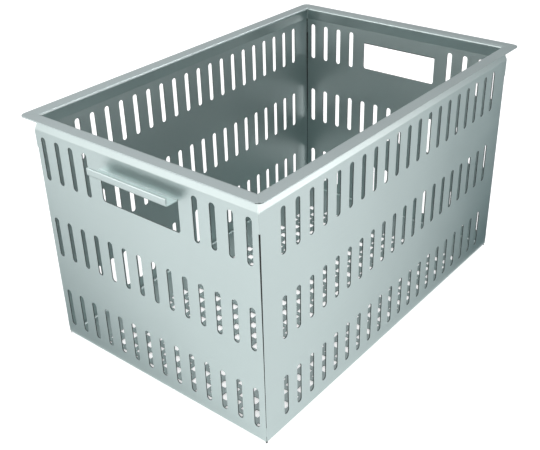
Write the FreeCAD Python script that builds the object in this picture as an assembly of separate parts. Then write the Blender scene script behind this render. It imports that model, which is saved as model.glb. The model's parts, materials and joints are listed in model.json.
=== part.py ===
"""Perforated sterilization container in folded aluminium sheet, open at the top.

The body is five sheets. Two long walls and two end walls are each one folded sheet: a flat rim
flange, a short neck that leans inwards below it, a slotted upright face and a lip turned in under
the floor. Each end wall also carries its own hand grip, which is the tab cut out of the hand hole,
folded outwards, turned up and hemmed. The perforated floor lies on the four turned-in lips.
The sheets meet in mitres on the four corners and are held there by welds.

Frame: millimetres, X along the long side, Y along the short side, Z up, with the origin on the
base under the middle of the opening.
"""

import FreeCAD, Part
import math
import os

from FreeCAD import Vector

# Rim, seen from above
RIM_LENGTH = 600.0
RIM_WIDTH = 392.0
RIM_FLANGE = 20.0
RIM_CORNER_RADIUS = 10.0

# Section of a wall, from the rim down to the base
HEIGHT = 342.0
SHEET = 1.5
NECK_HEIGHT = 20.0
NECK_LEAN = 8.0
FOOT_LIP = 14.0
RIM_BEND = 2.0
NECK_BEND = 3.0
FOOT_BEND = 3.5

# Slots in the four walls
SLOT_WIDTH = 8.0
SLOT_LENGTH = 60.0
SLOT_PITCH = 26.1
SLOT_ROWS = 3
SLOT_END_FLATS = 5
TOP_MARGIN = 28.5
BASE_MARGIN = 21.0
LONG_WALL_MARGIN = 40.0
END_WALL_MARGIN = 14.3

# Hand hole in each end wall, and the grip folded from it
HAND_HOLE_WIDTH = 131.0
HAND_HOLE_HEIGHT = 42.0
HAND_HOLE_DROP = 43.4
HAND_HOLE_RADIUS = 4.0
HOLE_TO_SLOT = 8.0
GRIP_REACH = 19.0
GRIP_LIP = 11.0
GRIP_HEM = 8.0
GRIP_BEND = 1.5
HEM_GAP = 0.3
GRIP_KERF = 0.5

# Floor and its square perforation. Each opening cut in the floor stands for a block of the real
# small holes, HOLES_JOINED each way: its side and its pitch grow alike, so the open share stays.
FLOOR_CLEARANCE = 0.3
FLOOR_BORDER = 20.0
HOLE_SIDE = 11.0
HOLE_PITCH = 17.5
HOLES_JOINED = 3

# Seams on the corners
SEAM_TOP_GAP = 1.5
SEAM_BASE_GAP = 0.5
SEAM_LAND = 0.5
UPPER_WELD_END = 44.8
LOWER_WELD_BOTTOM = 12.0
LOWER_WELD_TOP = 25.0
NECK_GAP = 3.5
NECK_WELD = 0.8
RIM_SEAM = 2.0

# Room that a cutting tool has past the face it goes through
OVERRUN = 5.0

# Places that follow from the sizes above. "Out" is measured outwards from the edge of the opening.
OPENING_LENGTH = RIM_LENGTH - 2 * RIM_FLANGE
OPENING_WIDTH = RIM_WIDTH - 2 * RIM_FLANGE
WALL_OUTER = NECK_LEAN
WALL_INNER = NECK_LEAN - SHEET
BODY_LENGTH = OPENING_LENGTH + 2 * WALL_OUTER
BODY_WIDTH = OPENING_WIDTH + 2 * WALL_OUTER
NECK_FOOT = HEIGHT - NECK_HEIGHT
SHELF_BOTTOM = HEIGHT - HAND_HOLE_DROP
HOLE_BOTTOM = SHELF_BOTTOM - HAND_HOLE_HEIGHT
GRIP_ROOT = SHELF_BOTTOM + GRIP_BEND + SHEET
DIAGONAL = math.sqrt(2.0)


def unit(vector):
    """The vector at length one."""
    return vector * (1.0 / vector.Length)


def bend(corner, before, after, inner_radius, thickness):
    """The two arcs of a bend at a corner of a sheet, each as its start, middle and end.

    The first arc lies on the face that the path follows, and the second on the other face, to
    the left of the path.
    """
    into = unit(corner - before)
    out = unit(after - corner)
    turn = math.atan2(into.x * out.y - into.y * out.x, into.dot(out))
    side = 1.0 if turn > 0 else -1.0
    path_radius = inner_radius + thickness if turn > 0 else inner_radius
    far_radius = inner_radius if turn > 0 else inner_radius + thickness
    tangent = path_radius * math.tan(abs(turn) / 2)
    centre = corner - into * tangent + Vector(-into.y, into.x, 0) * (side * path_radius)
    from_centre = Vector(into.y, -into.x, 0) * side
    arcs = []
    for radius in (path_radius, far_radius):
        places = []
        for share in (0.0, 0.5, 1.0):
            angle = turn * share
            spoke = Vector(
                from_centre.x * math.cos(angle) - from_centre.y * math.sin(angle),
                from_centre.x * math.sin(angle) + from_centre.y * math.cos(angle),
                0,
            )
            places.append(centre + spoke * radius)
        arcs.append(places)
    return arcs


def sheet_section(path, inner_radii, thickness=SHEET):
    """Section of a folded sheet: a path along one face, with the thickness on its left."""
    first_left = unit(path[1] - path[0])
    last_left = unit(path[-1] - path[-2])
    near = [[path[0]]]
    far = [[path[0] + Vector(-first_left.y, first_left.x, 0) * thickness]]
    for index, radius in enumerate(inner_radii, start=1):
        on_path, across = bend(path[index], path[index - 1], path[index + 1], radius, thickness)
        near.append(on_path)
        far.append(across)
    near.append([path[-1]])
    far.append([path[-1] + Vector(-last_left.y, last_left.x, 0) * thickness])

    edges = []

    def join(start, end):
        if start.distanceToPoint(end) > 1e-6:
            edges.append(Part.makeLine(start, end))

    def trace(places):
        for here, following in zip(places, places[1:] + [None]):
            if len(here) == 3:
                edges.append(Part.Arc(*here).toShape())
            if following:
                join(here[-1], following[0])

    trace(near)
    join(near[-1][0], far[-1][0])
    trace([list(reversed(places)) for places in reversed(far)])
    join(far[0][0], near[0][0])
    return Part.Face(Part.Wire(edges))


def stand_up(section, opening, length):
    """Turn a section of (out, height) into a solid wall on the +X side, centred on Y."""
    upright = section.copy()
    upright.rotate(Vector(0, 0, 0), Vector(1, 0, 0), 90)
    upright.translate(Vector(opening / 2, -length / 2, 0))
    return upright.extrude(Vector(0, length, 0))


def wall_section():
    """Section shared by the four walls: rim flange, leaning neck, upright face, foot lip."""
    path = [
        Vector(RIM_FLANGE, HEIGHT, 0),
        Vector(0, HEIGHT, 0),
        Vector(WALL_INNER, NECK_FOOT, 0),
        Vector(WALL_INNER, SHEET, 0),
        Vector(WALL_INNER - FOOT_LIP, SHEET, 0),
    ]
    return sheet_section(path, [RIM_BEND, NECK_BEND, FOOT_BEND])


def grip_section():
    """Section of a grip: bend out of the wall, shelf, upright lip and the hem inside it."""
    lip_face = WALL_OUTER + GRIP_REACH
    lip_top = SHELF_BOTTOM + GRIP_LIP
    hem_width = 2 * SHEET + HEM_GAP
    path = [
        Vector(WALL_INNER, GRIP_ROOT, 0),
        Vector(WALL_INNER, SHELF_BOTTOM, 0),
        Vector(lip_face, SHELF_BOTTOM, 0),
        Vector(lip_face, lip_top, 0),
        Vector(lip_face - hem_width, lip_top, 0),
        Vector(lip_face - hem_width, lip_top - GRIP_HEM, 0),
    ]
    hem_bend = HEM_GAP / 2
    return sheet_section(path, [GRIP_BEND, GRIP_BEND, hem_bend, hem_bend])


def slot_outline(plane_x):
    """Upright slot on a plane of constant X: straight sides and two round ends in short flats."""
    radius = SLOT_WIDTH / 2
    reach = SLOT_LENGTH / 2 - radius
    places = []
    for side in (1, -1):
        for step in range(SLOT_END_FLATS + 1):
            angle = math.pi * step / SLOT_END_FLATS
            across = side * radius * math.cos(angle)
            up = side * (reach + radius * math.sin(angle))
            places.append(Vector(plane_x, across, up))
    return Part.makePolygon(places + [places[0]])


def hand_hole_outline(plane_x):
    """Hand hole on a plane of constant X: square at the top, rounded at the two lower corners."""
    half = HAND_HOLE_WIDTH / 2
    radius = HAND_HOLE_RADIUS
    inset = radius * (1 - 1 / DIAGONAL)
    low = HOLE_BOTTOM
    right_side = Vector(plane_x, half, low + radius)
    right_foot = Vector(plane_x, half - radius, low)
    left_foot = Vector(plane_x, radius - half, low)
    left_side = Vector(plane_x, -half, low + radius)
    right_bend = Vector(plane_x, half - inset, low + inset)
    left_bend = Vector(plane_x, inset - half, low + inset)
    top_right = Vector(plane_x, half, GRIP_ROOT)
    top_left = Vector(plane_x, -half, GRIP_ROOT)
    return Part.Wire(
        [
            Part.makeLine(top_right, right_side),
            Part.Arc(right_side, right_bend, right_foot).toShape(),
            Part.makeLine(right_foot, left_foot),
            Part.Arc(left_foot, left_bend, left_side).toShape(),
            Part.makeLine(left_side, top_left),
            Part.makeLine(top_left, top_right),
        ]
    )


def punch(outline, depth):
    """Tool that cuts an outline through everything from its plane onwards along X."""
    return Part.Face(outline).extrude(Vector(depth, 0, 0))


def slot_tools(opening, body_width, end_margin, hand_hole):
    """Slots of one wall, as cutting tools: rows of upright slots with fully rounded ends."""
    start = opening / 2 + WALL_INNER - OVERRUN
    depth = SHEET + 2 * OVERRUN
    span = body_width - 2 * end_margin
    gaps = max(1, round(span / SLOT_PITCH))
    column_pitch = span / gaps
    slot_rise = HEIGHT - TOP_MARGIN - BASE_MARGIN - SLOT_LENGTH
    row_pitch = slot_rise / (SLOT_ROWS - 1)
    slot = punch(slot_outline(start), depth)
    keep_out = HAND_HOLE_WIDTH / 2 + HOLE_TO_SLOT + SLOT_WIDTH / 2
    tools = []
    for row in range(SLOT_ROWS):
        height = HEIGHT - TOP_MARGIN - SLOT_LENGTH / 2 - row * row_pitch
        low = height - SLOT_LENGTH / 2
        beside_hole = hand_hole and low - HOLE_TO_SLOT < GRIP_ROOT
        beside_hole = beside_hole and height + SLOT_LENGTH / 2 + HOLE_TO_SLOT > HOLE_BOTTOM
        for column in range(gaps + 1):
            across = -span / 2 + column * column_pitch
            if beside_hole and abs(across) < keep_out:
                continue
            tools.append(slot.translated(Vector(0, across, height)))
    return tools


def hand_hole_tool(opening):
    """Tool for a hand hole."""
    start = opening / 2 + WALL_INNER - OVERRUN
    return punch(hand_hole_outline(start), SHEET + 2 * OVERRUN)


def mitre_wedge(opening, other_opening):
    """The plan region that belongs to a +X wall: between the two corner diagonals."""
    reach = RIM_FLANGE + OVERRUN
    inside = FOOT_LIP + OVERRUN
    near_x = opening / 2 - inside
    far_x = opening / 2 + reach
    near_y = other_opening / 2 - inside
    far_y = other_opening / 2 + reach
    low = -OVERRUN
    outline = [
        Vector(near_x, -near_y, low),
        Vector(far_x, -far_y, low),
        Vector(far_x, far_y, low),
        Vector(near_x, near_y, low),
        Vector(near_x, -near_y, low),
    ]
    return Part.Face(Part.makePolygon(outline)).extrude(Vector(0, 0, HEIGHT + 2 * OVERRUN))


def rim_plate(length, width):
    """The rim's outline in plan as a block, with its rounded corners, to trim the flanges with."""
    block = Part.makeBox(
        length, width, HEIGHT + 2 * OVERRUN, Vector(-length / 2, -width / 2, -OVERRUN)
    )
    upright = [edge for edge in block.Edges if abs(edge.tangentAt(0).z) > 0.9]
    return block.makeFillet(RIM_CORNER_RADIUS, upright)


def on_diagonal(out, across, height, opening, other_opening):
    """A point at the +X +Y corner: along the diagonal, beside it and up.

    Out is measured as on a wall, square to it, from the edge of the opening.
    """
    half = across / DIAGONAL
    return Vector(opening / 2 + out + half, other_opening / 2 + out - half, height)


def diagonal_slab(profile, openings):
    """Solid about the corner diagonal, from (out, height, half width) points in order."""
    left = [on_diagonal(out, -half, height, *openings) for out, height, half in profile]
    right = [on_diagonal(out, half, height, *openings) for out, height, half in profile]
    faces = [
        Part.Face(Part.makePolygon(left + [left[0]])),
        Part.Face(Part.makePolygon(right + [right[0]])),
    ]
    for index in range(len(profile)):
        after = (index + 1) % len(profile)
        loop = [left[index], left[after], right[after], right[index], left[index]]
        faces.append(Part.Face(Part.makePolygon(loop)))
    solid = Part.makeSolid(Part.makeShell(faces))
    if solid.Volume < 0:
        solid.reverse()
    return solid


def seam_half_width(height):
    """Half the width of the open seam at a height: it narrows towards the base."""
    share = height / NECK_FOOT
    return (SEAM_BASE_GAP + (SEAM_TOP_GAP - SEAM_BASE_GAP) * share) / 2


def seam_slab(bottom, top, openings):
    """The seam groove between two heights, cut from outside down to its closed inner edge."""
    root = WALL_INNER + SEAM_LAND / DIAGONAL
    beyond = WALL_OUTER + OVERRUN
    low = seam_half_width(bottom)
    high = seam_half_width(top)
    profile = [(root, bottom, low), (beyond, bottom, low), (beyond, top, high), (root, top, high)]
    return diagonal_slab(profile, openings)


def neck_slab(skin, openings):
    """The gap between two necks, from inside up to a skin left on their outer faces.

    A skin below zero takes the gap out past those faces.
    """
    slope = WALL_INNER / NECK_HEIGHT
    thick = SHEET * math.hypot(1, slope)
    top = HEIGHT - SHEET
    half = NECK_GAP / 2
    outer_low = WALL_INNER + thick - skin
    outer_high = SHEET * slope + thick - skin
    profile = [
        (-OVERRUN, NECK_FOOT, half),
        (outer_low, NECK_FOOT, half),
        (outer_high, top, half),
        (-OVERRUN, top, half),
    ]
    return diagonal_slab(profile, openings)


def rim_slab(openings):
    """The seam across the flange at a corner, through its whole thickness."""
    half = RIM_SEAM / 2
    low = HEIGHT - SHEET
    high = HEIGHT + OVERRUN
    beyond = RIM_FLANGE + OVERRUN
    profile = [
        (-OVERRUN, low, half),
        (beyond, low, half),
        (beyond, high, half),
        (-OVERRUN, high, half),
    ]
    return diagonal_slab(profile, openings)


def folded_wall(opening, other_opening):
    """One wall as a plain folded sheet, mitred at both ends and with rounded flange corners."""
    length = other_opening + 2 * (RIM_FLANGE + OVERRUN)
    blank = stand_up(wall_section(), opening, length)
    wall = blank.common(mitre_wedge(opening, other_opening))
    plate = rim_plate(opening + 2 * RIM_FLANGE, other_opening + 2 * RIM_FLANGE)
    return wall.common(plate)


def add_grip(wall, opening):
    """Cut the hand hole and fold the grip out of its top edge."""
    width = HAND_HOLE_WIDTH - 2 * GRIP_KERF
    grip = stand_up(grip_section(), opening, width)
    return wall.cut(hand_hole_tool(opening)).fuse(grip).removeSplitter()


def pierced_wall(plain, opening, other_opening, end_margin, has_grip):
    """A finished wall on the +X side: slots, grip and the corner seams."""
    body_width = other_opening + 2 * WALL_OUTER
    wall = plain.cut(Part.makeCompound(slot_tools(opening, body_width, end_margin, has_grip)))
    if has_grip:
        wall = add_grip(wall, opening)
    openings = (opening, other_opening)
    seams = [
        seam_slab(-OVERRUN, NECK_FOOT, openings),
        neck_slab(-OVERRUN, openings),
        rim_slab(openings),
    ]
    mirrored = [seam.mirror(Vector(0, 0, 0), Vector(0, 1, 0)) for seam in seams]
    return wall.cut(seams + mirrored)


def corner_welds(long_plain, end_plain):
    """The three welds of the +X +Y corner, each flush with the sheets that it joins."""
    openings = (OPENING_LENGTH, OPENING_WIDTH)
    reach = RIM_FLANGE + FOOT_LIP + 2 * OVERRUN
    corner = Vector(OPENING_LENGTH / 2 - FOOT_LIP, OPENING_WIDTH / 2 - FOOT_LIP, -OVERRUN)
    around = Part.makeBox(reach, reach, HEIGHT + 2 * OVERRUN, corner)
    stock = long_plain.common(around).fuse(end_plain.common(around)).removeSplitter()

    rim = stock.common(rim_slab(openings))
    lower = stock.common(seam_slab(LOWER_WELD_BOTTOM, LOWER_WELD_TOP, openings))
    upper_seam = stock.common(seam_slab(HEIGHT - UPPER_WELD_END, NECK_FOOT, openings))
    whole_neck = stock.common(neck_slab(-OVERRUN, openings))
    neck = whole_neck.cut(neck_slab(NECK_WELD, openings))
    upper = upper_seam.fuse(neck).removeSplitter()
    return {"rim_weld": rim, "upper_corner_weld": upper, "lower_corner_weld": lower}


def floor_panel():
    """Perforated floor, lying on the four foot lips and clear of their bends."""
    inset = FOOT_BEND + FLOOR_CLEARANCE
    length = OPENING_LENGTH + 2 * (WALL_INNER - inset)
    width = OPENING_WIDTH + 2 * (WALL_INNER - inset)
    side = HOLE_SIDE * HOLES_JOINED
    pitch = HOLE_PITCH * HOLES_JOINED
    columns = int((length - 2 * FLOOR_BORDER - side) / pitch) + 1
    rows = int((width - 2 * FLOOR_BORDER - side) / pitch) + 1
    outline = Part.makePlane(length, width, Vector(-length / 2, -width / 2, SHEET))
    holes = []
    for column in range(columns):
        for row in range(rows):
            x = (column - (columns - 1) / 2) * pitch - side / 2
            y = (row - (rows - 1) / 2) * pitch - side / 2
            holes.append(Part.makePlane(side, side, Vector(x, y, SHEET)).OuterWire)
    sheet = Part.Face([outline.OuterWire] + [hole.reversed() for hole in holes])
    sheet.validate()
    return sheet.extrude(Vector(0, 0, SHEET))


def one_solid(shape, name):
    """The single solid in a shape, checked before it is written."""
    solids = shape.Solids
    if len(solids) != 1 or not solids[0].isValid():
        raise ValueError(f"{name}: {len(solids)} solids, or one that is not valid")
    return solids[0]


def turned(shape, degrees):
    """A copy turned about the upright axis through the middle of the basket."""
    copy = shape.copy()
    copy.rotate(Vector(0, 0, 0), Vector(0, 0, 1), degrees)
    return copy


def build():
    """Every sub-part by its name."""
    end_plain = folded_wall(OPENING_LENGTH, OPENING_WIDTH)
    side_plain = folded_wall(OPENING_WIDTH, OPENING_LENGTH)
    end_wall = pierced_wall(end_plain, OPENING_LENGTH, OPENING_WIDTH, END_WALL_MARGIN, True)
    side_wall = pierced_wall(side_plain, OPENING_WIDTH, OPENING_LENGTH, LONG_WALL_MARGIN, False)
    parts = {
        "floor_panel": floor_panel(),
        "right_end_wall": end_wall,
        "left_end_wall": turned(end_wall, 180),
        "back_wall": turned(side_wall, 90),
        "front_wall": turned(side_wall, -90),
    }
    welds = corner_welds(turned(side_plain, 90), end_plain)
    mirror_x = Vector(1, 0, 0)
    mirror_y = Vector(0, 1, 0)
    centre = Vector(0, 0, 0)
    for kind, weld in welds.items():
        parts[f"{kind}_back_right"] = weld
        parts[f"{kind}_back_left"] = weld.mirror(centre, mirror_x)
        parts[f"{kind}_front_right"] = weld.mirror(centre, mirror_y)
        parts[f"{kind}_front_left"] = weld.mirror(centre, mirror_x).mirror(centre, mirror_y)
    return parts


def main():
    os.makedirs("parts", exist_ok=True)
    for name, shape in build().items():
        solid = one_solid(shape, name)
        solid.exportStep(os.path.join("parts", f"{name}.step"))
        box = solid.BoundBox
        print(f"{name}: {solid.Volume / 1000:.2f} cm3, {len(solid.Faces)} faces, "
              f"{box.XLength:.1f} x {box.YLength:.1f} x {box.ZLength:.1f} mm")


main()
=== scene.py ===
# %% [markdown]
# A basket for the sterilizer, in satin aluminium
#
# The object is a deep, open basket that holds wrapped instrument trays while steam goes through
# them. It is made of five sheets of aluminium: two long walls, two end walls and a perforated
# floor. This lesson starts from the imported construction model, which already has every fold, slot
# and weld in its place, and gives it what the camera sees: the fine floor, the finish of each
# sheet, the studio and the view. Everything is in metres, with the base of the basket on the
# ground at height zero.

# %% The frame
import json
import math

import bmesh
import bpy
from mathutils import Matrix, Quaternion, Vector

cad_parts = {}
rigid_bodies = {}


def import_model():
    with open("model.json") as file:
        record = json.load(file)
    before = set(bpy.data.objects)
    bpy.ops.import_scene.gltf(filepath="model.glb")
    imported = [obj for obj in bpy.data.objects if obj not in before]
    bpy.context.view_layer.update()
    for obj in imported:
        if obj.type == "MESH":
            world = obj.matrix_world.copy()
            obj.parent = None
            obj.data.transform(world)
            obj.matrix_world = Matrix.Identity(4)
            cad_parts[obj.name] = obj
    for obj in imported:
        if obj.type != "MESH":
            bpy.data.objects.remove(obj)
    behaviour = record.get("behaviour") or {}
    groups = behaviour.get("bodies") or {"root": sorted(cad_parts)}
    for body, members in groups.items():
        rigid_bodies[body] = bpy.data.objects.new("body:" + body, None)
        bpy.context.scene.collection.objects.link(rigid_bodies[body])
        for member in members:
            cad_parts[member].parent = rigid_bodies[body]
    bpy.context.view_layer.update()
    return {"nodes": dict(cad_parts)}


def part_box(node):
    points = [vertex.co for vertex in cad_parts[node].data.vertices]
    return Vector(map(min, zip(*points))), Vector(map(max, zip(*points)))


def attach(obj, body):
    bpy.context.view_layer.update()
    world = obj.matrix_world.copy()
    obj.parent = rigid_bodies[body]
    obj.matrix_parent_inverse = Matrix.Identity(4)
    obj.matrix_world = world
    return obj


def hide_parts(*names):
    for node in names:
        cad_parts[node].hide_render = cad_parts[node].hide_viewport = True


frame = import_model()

nodes = frame["nodes"]

# %% [markdown]
# The camera
#
# The photograph looks down into the basket from a little above one corner. The camera's place,
# the point in the middle of the picture and the lens were worked out from the corners of the rim
# and of the base, so the perspective of the long side is the real one. The camera was held with
# a slight tilt, so it is also rolled about its own line of sight.

# %% The camera
CAMERA_PLACE = Vector((-0.8664, -0.6784, 0.7524))
PICTURE_MIDDLE = Vector((0.1308, 0.1489, -0.0033))
CAMERA_ROLL = math.radians(1.62)
LENS = 56.76

line_of_sight = PICTURE_MIDDLE - CAMERA_PLACE
level = line_of_sight.to_track_quat("-Z", "Y")
roll = Quaternion((0, 0, 1), -CAMERA_ROLL)
bpy.ops.object.camera_add(location=CAMERA_PLACE, rotation=(level @ roll).to_euler())
camera = bpy.context.object
camera.name = "view_camera"
camera.data.lens = LENS
bpy.context.scene.camera = camera
bpy.context.scene.view_settings.view_transform = "Standard"
print("camera stands", round(line_of_sight.length, 3), "m from the middle of the view")

# %% [markdown]
# Shader maths
#
# Every finish below is a few noises, mixed and scaled. Written with node calls alone, that hides
# the idea in plumbing. This small class wraps a node's output, so that plus, minus and times on
# it add the Math nodes, and one method adds any other node.

# %% Shader maths
class Socket:
    """A node's output. Arithmetic on it adds Math nodes to the same tree."""

    def __init__(self, tree, output):
        self.tree = tree
        self.output = output

    @classmethod
    def add(cls, tree, kind, settings=None, sockets=None, output=0):
        """Add a node: first its settings, then the values or links of its sockets."""
        node = tree.nodes.new(kind)
        for name, value in (settings or {}).items():
            if name == "stops":
                fill_ramp(node.color_ramp, value)
            else:
                setattr(node, name, value)
        for key, value in (sockets or {}).items():
            if isinstance(value, Socket):
                tree.links.new(value.output, node.inputs[key])
            else:
                node.inputs[key].default_value = value
        return cls(tree, node.outputs[output])

    def maths(self, operation, first, second):
        settings = {"operation": operation}
        return Socket.add(self.tree, "ShaderNodeMath", settings, {0: first, 1: second})

    def __add__(self, other):
        return self.maths("ADD", self, other)

    def __sub__(self, other):
        return self.maths("SUBTRACT", self, other)

    def __rsub__(self, other):
        return self.maths("SUBTRACT", other, self)

    def __mul__(self, other):
        return self.maths("MULTIPLY", self, other)

    __radd__ = __add__
    __rmul__ = __mul__

    def at_most(self, other):
        return self.maths("MINIMUM", self, other)

    def at_least(self, other):
        return self.maths("MAXIMUM", self, other)

    def size(self):
        return self.maths("ABSOLUTE", self, 0.0)

    def grey(self):
        """The grey whose three channels all have this value."""
        return Socket.add(self.tree, "ShaderNodeCombineColor", None, {0: self, 1: self, 2: self})

    def axis(self, letter):
        """The X, Y or Z of a place or a direction."""
        return Socket.add(self.tree, "ShaderNodeSeparateXYZ", None, {0: self}, output=letter)


def fill_ramp(ramp, stops):
    """Give a colour ramp its stops, each a place and a grey or a colour."""
    for index, (place, colour) in enumerate(stops):
        element = ramp.elements[index] if index < 2 else ramp.elements.new(place)
        element.position = place
        element.color = colour if len(colour) == 4 else (*colour, 1)


# %% Colours, bumps and noises
def object_place(tree):
    """The place on a piece, on its Object coordinates."""
    return Socket.add(tree, "ShaderNodeTexCoord", output="Object")


def mixed_colours(tree, first, second, factor=1.0, blend="MULTIPLY"):
    """Two colours, multiplied with each other or blended by a factor."""
    # The Mix node names its colour sockets as it does its plain ones, so they go by number
    settings = {"data_type": "RGBA", "blend_type": blend}
    sockets = {"Factor": factor, 6: first, 7: second}
    return Socket.add(tree, "ShaderNodeMix", settings, sockets, output=2)


def bumped(tree, height, distance, sockets=None):
    """The normal of a surface with a bump of a height and a distance."""
    given = {"Height": height, "Distance": distance, "Strength": 1.0, **(sockets or {})}
    return Socket.add(tree, "ShaderNodeBump", None, given)


def noise(tree, stretch, detail=3.0, roughness=0.5):
    """A noise over the sheet, with its frequency along X, Y and Z in patches per metre."""
    place = object_place(tree)
    scaled = Socket.add(tree, "ShaderNodeMapping", None, {"Vector": place, "Scale": stretch})
    sockets = {"Vector": scaled, "Scale": 1.0, "Detail": detail, "Roughness": roughness}
    return Socket.add(tree, "ShaderNodeTexNoise", {"noise_dimensions": "3D"}, sockets)


# %% [markdown]
# Satin aluminium sheet
#
# The basket is pickled and anodised after it is welded, which leaves an even satin grey with a
# cool cast. It isn't a flat grey, though. Rolling leaves a grain of very fine lines along the
# sheet, the bath leaves faint clouds, and a large thin sheet is never quite flat, so reflections
# wander in it a little. The grain goes into the roughness and a fine bump, the clouds into the
# colour, and the waviness into a second bump with a long wavelength.

# %% A new material
def new_material(name):
    """A material with its node tree and its Principled shader."""
    material = bpy.data.materials.new(name)
    material.use_nodes = True
    tree = material.node_tree
    shader = tree.nodes["Principled BSDF"]
    return material, tree, shader


def bare_metal(tree, shader, colour, finish):
    """Make a shader bare metal with a colour and a roughness that vary over the piece."""
    tree.links.new(colour.output, shader.inputs["Base Color"])
    tree.links.new(finish.output, shader.inputs["Roughness"])
    shader.inputs["Metallic"].default_value = 1.0


# %% Satin sheet
GRAIN_FINE = 900.0
GRAIN_LONG = 6.0
GRAIN_DEPTH = 0.000004
WAVE_DEPTH = 0.00025
CLOUD = 0.05
SPECK = 0.02


def satin_sheet(name, tint, grain_along, roughness=0.40):
    """Anodised sheet with its rolling grain along X, Y or Z."""
    material, tree, shader = new_material(name)
    fine = [GRAIN_FINE, GRAIN_FINE, GRAIN_FINE]
    fine["XYZ".index(grain_along)] = GRAIN_LONG
    grain = noise(tree, fine, detail=2.0)
    clouds = noise(tree, (7.0, 7.0, 4.0), detail=4.0, roughness=0.55)
    specks = noise(tree, (420.0, 420.0, 420.0), detail=1.0)
    waves = noise(tree, (9.0, 9.0, 2.2), detail=1.0)

    shade = clouds * (2 * CLOUD) + (1 - CLOUD)
    shade = shade + specks * SPECK - SPECK / 2
    colour = mixed_colours(tree, shade.grey(), (*tint, 1))
    finish = grain * 0.10 + clouds * 0.08 + (roughness - 0.09)
    bare_metal(tree, shader, colour, finish)

    wavy = bumped(tree, waves, WAVE_DEPTH)
    grained = bumped(tree, grain, GRAIN_DEPTH, {"Normal": wavy})
    tree.links.new(grained.output, shader.inputs["Normal"])
    return material


COOL_GREY = (0.465, 0.545, 0.54)
side_satin = satin_sheet("satin_sheet_long_walls", COOL_GREY, "X")
end_satin = satin_sheet("satin_sheet_end_walls", COOL_GREY, "Y")
# The grip's finish is smoother from hand wear, and its lighter tint is painted light in the recess
worn_satin = satin_sheet("satin_sheet_worn_lit_grip", (0.66, 0.73, 0.725), "Y", roughness=0.36)
floor_satin = satin_sheet("satin_sheet_floor", (0.44, 0.515, 0.51), "X", roughness=0.48)
print("sheet finishes:", [satin.name for satin in (side_satin, end_satin, worn_satin, floor_satin)])

# %% [markdown]
# The welds
#
# At each corner two walls meet, and a short weld is run in and ground flush with the sheets. The
# whole basket is pickled afterwards, so the weld metal has the tint of the sheet. Its grain is
# different: short cross scratches from the grinding, and a slightly uneven surface. In the neck
# the weld is painted lighter, as a painted highlight, and at the rounded corner of the rim it is
# painted dark, as a painted shade. Below the upper weld the seam stays open, and the metal inside
# it is painted dark, as the shade of the deep, narrow gap.

# %% Ground welds
# A dark tint: painted shade on the cut edges and on the rim's rounded corner
CUT_TINT = (0.13, 0.155, 0.155)
RIM_CORNER_REACH = 0.4898
# From this height up the corner weld is painted lighter, as a painted highlight in the neck
GROUND_BRIGHT_FROM = 0.321
LUMP_DEPTH = 0.00008


def ground_weld(name, tint, measure, limit, tint_beyond):
    """Weld metal, ground flush, with another tint, a painted highlight or shade, beyond a height or
    a reach outwards.
    """
    material, tree, shader = new_material(name)
    scratches = noise(tree, (260.0, 260.0, 1400.0), detail=2.0)
    lumps = noise(tree, (180.0, 180.0, 120.0), detail=2.0)
    shade = scratches * 0.14 + lumps * 0.10 + 0.88
    within = mixed_colours(tree, shade.grey(), (*tint, 1))
    place = object_place(tree)
    if measure == "height":
        reached = place.axis("Z")
    else:
        reached = place.axis("X").size() + place.axis("Y").size()
    beyond = reached.maths("GREATER_THAN", reached, limit)
    colour = mixed_colours(tree, within, (*tint_beyond, 1), beyond, "MIX")
    bare_metal(tree, shader, colour, scratches * 0.15 + 0.42)
    tree.links.new(bumped(tree, lumps, LUMP_DEPTH).output, shader.inputs["Normal"])
    return material


# The corner weld is lighter in the neck: a painted highlight
corner_weld_metal = ground_weld(
    "ground_corner_weld", COOL_GREY, "height", GROUND_BRIGHT_FROM, (0.60, 0.67, 0.66)
)
# The rim weld is dark at the rim's rounded corner: a painted shade
rim_weld_metal = ground_weld(
    "ground_rim_weld", COOL_GREY, "outwards", RIM_CORNER_REACH, CUT_TINT
)
print("the neck's weld is bright from", GROUND_BRIGHT_FROM, "m up")


# %% The inside of the seam and the punched edges
def seam_shadow(name):
    """The inside of the open seam: dark with painted shade, rough and blotched."""
    material, tree, shader = new_material(name)
    blotches = noise(tree, (300.0, 300.0, 90.0), detail=3.0)
    dark = (blotches * 0.03 + 0.004).grey()
    tree.links.new(dark.output, shader.inputs["Base Color"])
    finish = blotches * 0.2 + 0.75
    tree.links.new(finish.output, shader.inputs["Roughness"])
    return material


def sheared_edge(name, tint):
    """The punched rim of a slot: torn metal, rougher than the face of the sheet, darkened as
    painted shade.
    """
    material, tree, shader = new_material(name)
    torn = noise(tree, (900.0, 900.0, 2500.0), detail=3.0)
    colour = mixed_colours(tree, (torn * 0.5 + 0.7).grey(), (*tint, 1))
    bare_metal(tree, shader, colour, torn * 0.2 + 0.50)
    return material


punched_edge = sheared_edge("sheared_edge", CUT_TINT)
seam_dark = seam_shadow("seam_shadow")
print("and for the cuts:", punched_edge.name, "and", seam_dark.name)


# %% Dressing the construction's own pieces
def dress(node, material):
    """Give a piece of the construction model a finish."""
    piece = nodes[node]
    piece.data.materials.clear()
    piece.data.materials.append(material)


rim_welds = [name for name in nodes if name.startswith("rim_weld")]
corner_welds = [name for name in nodes if "corner_weld" in name]
for name in rim_welds:
    dress(name, rim_weld_metal)
for name in corner_welds:
    dress(name, corner_weld_metal)
print("dressed:", len(rim_welds), "rim welds and", len(corner_welds), "corner welds")

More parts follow.
